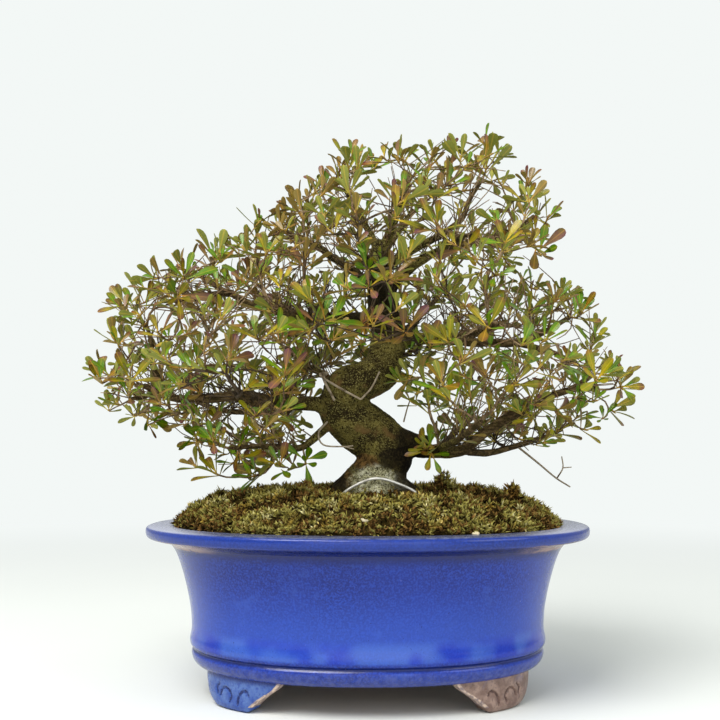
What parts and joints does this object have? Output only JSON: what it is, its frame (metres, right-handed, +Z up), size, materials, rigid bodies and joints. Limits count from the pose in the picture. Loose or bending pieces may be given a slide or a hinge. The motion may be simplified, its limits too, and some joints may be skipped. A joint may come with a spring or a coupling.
{
  "type": "satsuki azalea bonsai in a pot",
  "caption": "Informal upright satsuki azalea bonsai with an S-shaped trunk and leafy sprays, rooted in mossy soil in an oval blue-glazed pot on cloud feet.",
  "frame": {"origin": "bottom centre of the whole object: under the middle of tree and pot, on the surface that the pot's feet stand on", "axes": "+Z up, -Y towards the viewer of the tree's front, +X to that viewer's right along the pot's length"},
  "size_m": [0.3405, 0.2418, 0.3393],
  "materials": {
    "glazed_pot": "glossy cobalt blue glaze with brown breaks at the edges",
    "net": "black net",
    "soil": "granular soil",
    "moss": "dry olive moss",
    "wire": "bright drawn wire",
    "bark": "rough mossy bark",
    "leaves": "satin olive green leaves, some bronze, on grey-brown twigs"
  },
  "bodies": {
    "root": {"pot": "glazed_pot", "drain_mesh_left": "net", "drain_mesh_right": "net", "soil": "soil", "moss": "moss", "tie_wire": "wire", "tree_wood": "bark", "spray_left_low_4": "leaves", "spray_left_low_tip_1": "leaves", "spray_left_low_rise_2": "leaves", "spray_left_low_back_2": "leaves", "spray_left_drop_2": "leaves", "spray_left_front_2": "leaves", "spray_left_mid_2": "leaves", "spray_left_mid_back_1": "leaves", "spray_left_mid_far_1": "leaves", "spray_left_mid_front_1": "leaves", "spray_left_high_2": "leaves", "spray_right_low_2": "leaves", "spray_right_low_under_2": "leaves", "spray_right_low_front_2": "leaves", "spray_right_low_back_2": "leaves", "spray_right_mid_2": "leaves", "spray_right_mid_back_2": "leaves", "spray_right_mid_far_1": "leaves", "spray_right_mid_front_1": "leaves", "spray_right_high_3": "leaves", "spray_right_high_front_1": "leaves", "spray_top_right_2": "leaves", "spray_top_1": "leaves", "spray_top_back_1": "leaves", "spray_top_left_2": "leaves", "spray_back_low_2": "leaves", "spray_back_high_2": "leaves", "spray_back_left_2": "leaves", "spray_back_right_1": "leaves", "spray_front_high_2": "leaves", "spray_left_low_1": "leaves", "spray_left_low_2": "leaves", "spray_left_low_3": "leaves", "spray_left_low_rise_1": "leaves", "spray_left_low_back_1": "leaves", "spray_left_drop_1": "leaves", "spray_left_front_1": "leaves", "spray_left_mid_1": "leaves", "spray_left_high_1": "leaves", "spray_right_low_1": "leaves", "spray_right_low_under_1": "leaves", "spray_right_low_front_1": "leaves", "spray_right_low_back_1": "leaves", "spray_right_mid_1": "leaves", "spray_right_mid_back_1": "leaves", "spray_right_high_1": "leaves", "spray_right_high_2": "leaves", "spray_top_right_1": "leaves", "spray_top_left_1": "leaves", "spray_back_low_1": "leaves", "spray_back_high_1": "leaves", "spray_back_left_1": "leaves", "spray_front_high_1": "leaves"}
  },
  "joints": []
}
